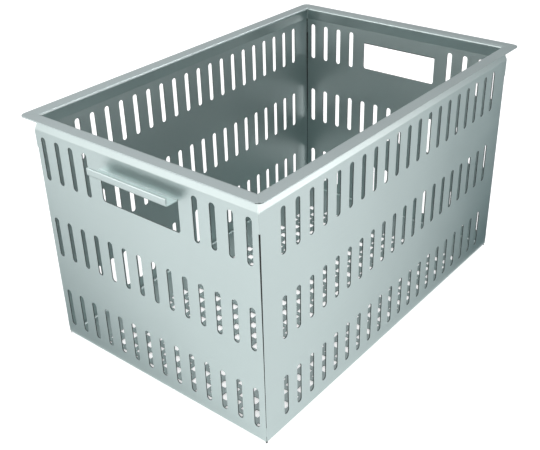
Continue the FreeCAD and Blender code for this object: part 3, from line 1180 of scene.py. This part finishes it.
# On the line of the back rim's bend, but drawn on beyond the right end of the basket
BACK_BEND = Vector((1.37, 0.176, 0.342))

soft_lamp("soft_lamp_overhead", Vector((-0.9, -0.9, 2.3)), Vector((0, -0.1, 0.1)),
          size=1.8, power=19.0)
soft_lamp("soft_lamp_right", NEAR_CORNER + Vector((1.15, -1.37, 0.12)), NEAR_CORNER,
          size=0.8, power=6.0, colour=WARM)
soft_lamp("soft_lamp_left", NEAR_CORNER + Vector((-1.46, 1.02, 0.45)), NEAR_CORNER,
          size=1.1, power=6.0, colour=WARM)
soft_lamp("soft_lamp_grip", GRIP_MIDDLE + Vector((-0.78, 0.92, 0.66)), GRIP_MIDDLE,
          size=0.7, power=3.0)
soft_lamp("soft_lamp_rim", BACK_BEND + Vector((0, -0.62, 1.37)), BACK_BEND,
          size=1.7, power=8.0, width=0.08)
lamps = [piece for piece in bpy.context.scene.objects if piece.name.startswith("soft_lamp")]
print("lamps, in watts:", {lamp.name: round(lamp.data.energy, 1) for lamp in lamps})

# %% [markdown]
# The shaded cards
#
# In the picture both near walls fall off from light at the near corner to a darker grey at their
# far ends, because the studio is dark beyond them. A photographer gets that with shaded cards
# where each wall mirrors them. Two lie on the table, one stands far to the right, and one lies
# under the basket, where its floor shades the ground. The cards are seen by reflections only, so
# they cast no shadow and can't be seen themselves, and the large ones fade out without an edge.

# %% The finish of a card
CARD_TINT = (0.02, 0.085, 0.095)


def card_finish(name, slopes, start, reach, stops):
    """A dark matt finish, from clear to dense. The slopes give its direction in X and Y, the start
    where along it the first stop lies, and the reach how far from there the last one is."""
    material, tree, shader = new_material(name)
    place = object_place(tree)
    across = place.axis("X") * slopes[0] + place.axis("Y") * slopes[1]
    along = (across - start) * (1 / reach)
    darkness = Socket.add(tree, "ShaderNodeValToRGB", {"stops": stops}, {0: along})
    shader.inputs["Base Color"].default_value = (*CARD_TINT, 1)
    shader.inputs["Roughness"].default_value = 1.0
    clear = tree.nodes.new("ShaderNodeBsdfTransparent")
    cover = tree.nodes.new("ShaderNodeMixShader")
    tree.links.new(darkness.output, cover.inputs[0])
    tree.links.new(clear.outputs[0], cover.inputs[1])
    tree.links.new(shader.outputs[0], cover.inputs[2])
    tree.links.new(cover.outputs[0], tree.nodes["Material Output"].inputs["Surface"])
    return material


def greys(*pairs):
    """Ramp stops from pairs of a place and a grey."""
    return [(place, (grey, grey, grey)) for place, grey in pairs]


# %% A shaded card
def shaded_card(name, low, high, slopes, start, reach, stops):
    """A card between two corners, flat or upright, that only reflections see."""
    middle = (low + high) / 2
    size = high - low
    stands = size.z > 0
    turn = (0, math.radians(90), 0) if stands else (0, 0, 0)
    bpy.ops.object.select_all(action="DESELECT")
    bpy.ops.mesh.primitive_plane_add(size=1, location=middle, rotation=turn)
    card = bpy.context.object
    card.name = name
    card.scale = (size.z if stands else size.x, size.y, 1)
    bpy.ops.object.transform_apply(location=True, rotation=True, scale=True)
    card.data.materials.append(card_finish(name + "_grey", slopes, start, reach, stops))
    card.visible_camera = False
    card.visible_diffuse = False
    card.visible_transmission = False
    card.visible_shadow = False
    print(name, "is", round(size.x, 2), "by", round(size.y, 2), "by", round(size.z, 2), "m")


# %% The four cards
CARD_LIFT = 0.001

shaded_card(
    "studio_card_right",
    Vector((-0.29, -1.3, CARD_LIFT)),
    Vector((1.8, -0.187, CARD_LIFT)),
    slopes=(1.0, 1.75),
    start=-0.25 - 1.75 * 0.184,
    reach=0.55,
    stops=greys((0, 0.06), (0.18, 0.20), (0.36, 0.33), (0.54, 0.49), (0.72, 0.70), (0.90, 0.92),
                (1.0, 0.98)),
)
shaded_card(
    "studio_card_left",
    Vector((-1.5, -0.2, CARD_LIFT)),
    Vector((-0.291, 1.4, CARD_LIFT)),
    slopes=(2.35, 1.0),
    start=-0.20 - 2.35 * 0.30,
    reach=0.4,
    stops=greys((0, 0.02), (0.12, 0.08), (0.32, 0.26), (0.55, 0.44), (0.78, 0.58), (1.0, 0.68)),
)
shaded_card(
    "studio_card_far",
    Vector((1.6, -1.7, CARD_LIFT)),
    Vector((1.6, 0.4, 0.85)),
    slopes=(0.0, 1.0),
    start=-1.7,
    reach=1.2,
    stops=greys((0, 0.05), (0.33, 0.50), (0.60, 0.88), (1.0, 0.97)),
)
shaded_card(
    "studio_card_under",
    Vector((-0.272, -0.168, CARD_LIFT)),
    Vector((0.272, 0.168, CARD_LIFT)),
    slopes=(0.0, 0.0),
    start=0.0,
    reach=1.0,
    stops=greys((0, 0.75), (1.0, 0.75)),
)
